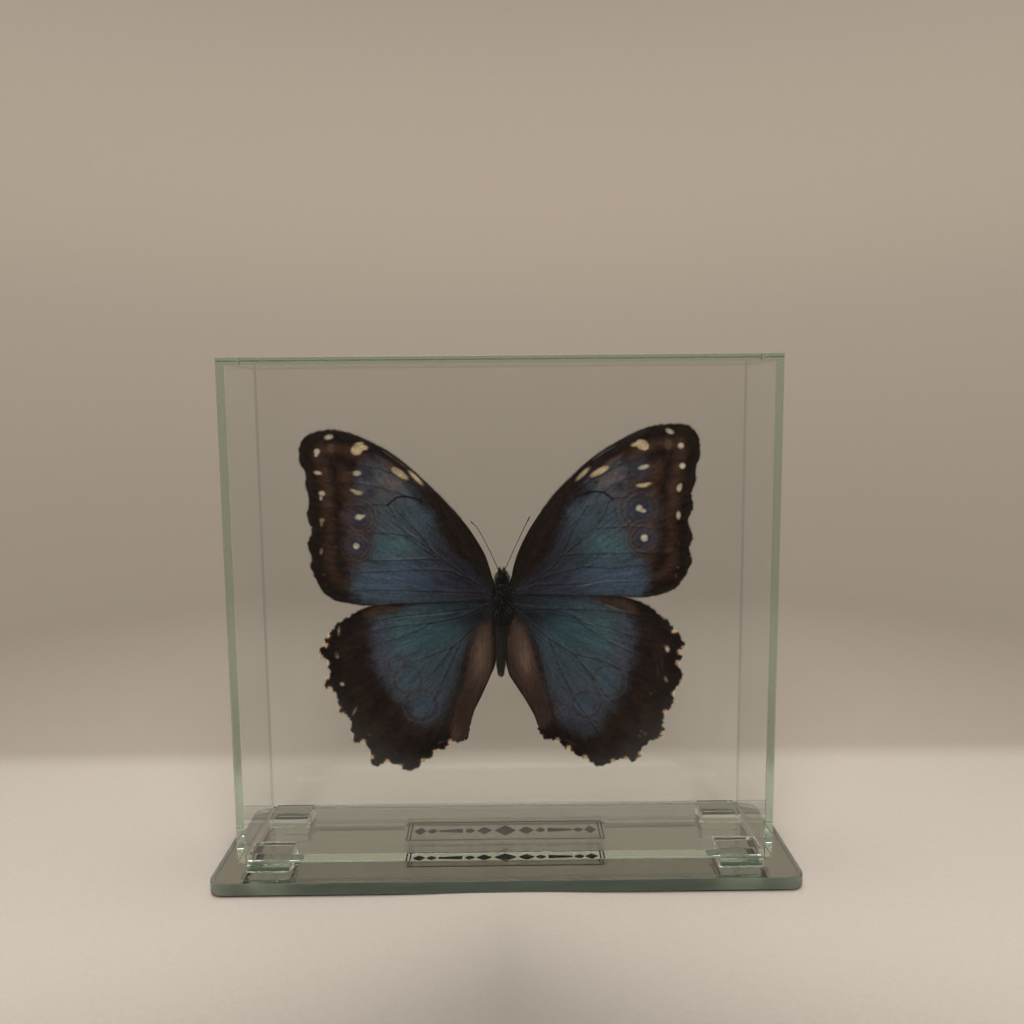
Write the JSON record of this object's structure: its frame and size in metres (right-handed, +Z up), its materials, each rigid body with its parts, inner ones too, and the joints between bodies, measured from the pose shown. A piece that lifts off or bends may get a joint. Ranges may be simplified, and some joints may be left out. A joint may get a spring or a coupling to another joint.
{
  "type": "framed butterfly specimen",
  "caption": "Blue butterfly with spread wings sealed in a standing clear glass case, on small glass blocks over a mirror base plate.",
  "frame": {"origin": "middle of the mirror plate's underside, where the object stands", "axes": "+Z up, +X to the right and -Y towards a viewer who faces the upper side of the wings"},
  "size_m": [0.1644, 0.0486, 0.146],
  "materials": {
    "clear_glass": "clear float glass with a green tint in its polished edges",
    "mirror": "silvered float glass, clean, with green polished edges",
    "label": "transparent film with a thin printed border",
    "clear_glue": "clear hardened glue",
    "forewing": "matt scales, iridescent blue centre, dark brown border with cream spots",
    "hindwing": "matt scales, iridescent teal blue centre, dark brown border, tan inner fold",
    "dark_hair": "dense blackish hair",
    "grey_hair": "short dark grey hair",
    "horn": "dark brown dry horn"
  },
  "bodies": {
    "root": {"mirror_plate": "mirror", "block_front_left": "clear_glass", "block_front_right": "clear_glass", "block_back_left": "clear_glass", "block_back_right": "clear_glass", "pane_front": "clear_glass", "pane_back": "clear_glass", "pane_top": "clear_glass", "pane_left": "clear_glass", "pane_right": "clear_glass", "pane_bottom": "clear_glass", "label_film": "label", "glue_dab": "clear_glue", "forewing_left": "forewing", "forewing_right": "forewing", "hindwing_left": "hindwing", "hindwing_right": "hindwing", "thorax": "dark_hair", "head": "dark_hair", "abdomen": "grey_hair", "antenna_left": "horn", "antenna_right": "horn", "leg_middle_left": "horn", "leg_middle_right": "horn", "leg_hind_left": "horn", "leg_hind_right": "horn"}
  },
  "joints": []
}
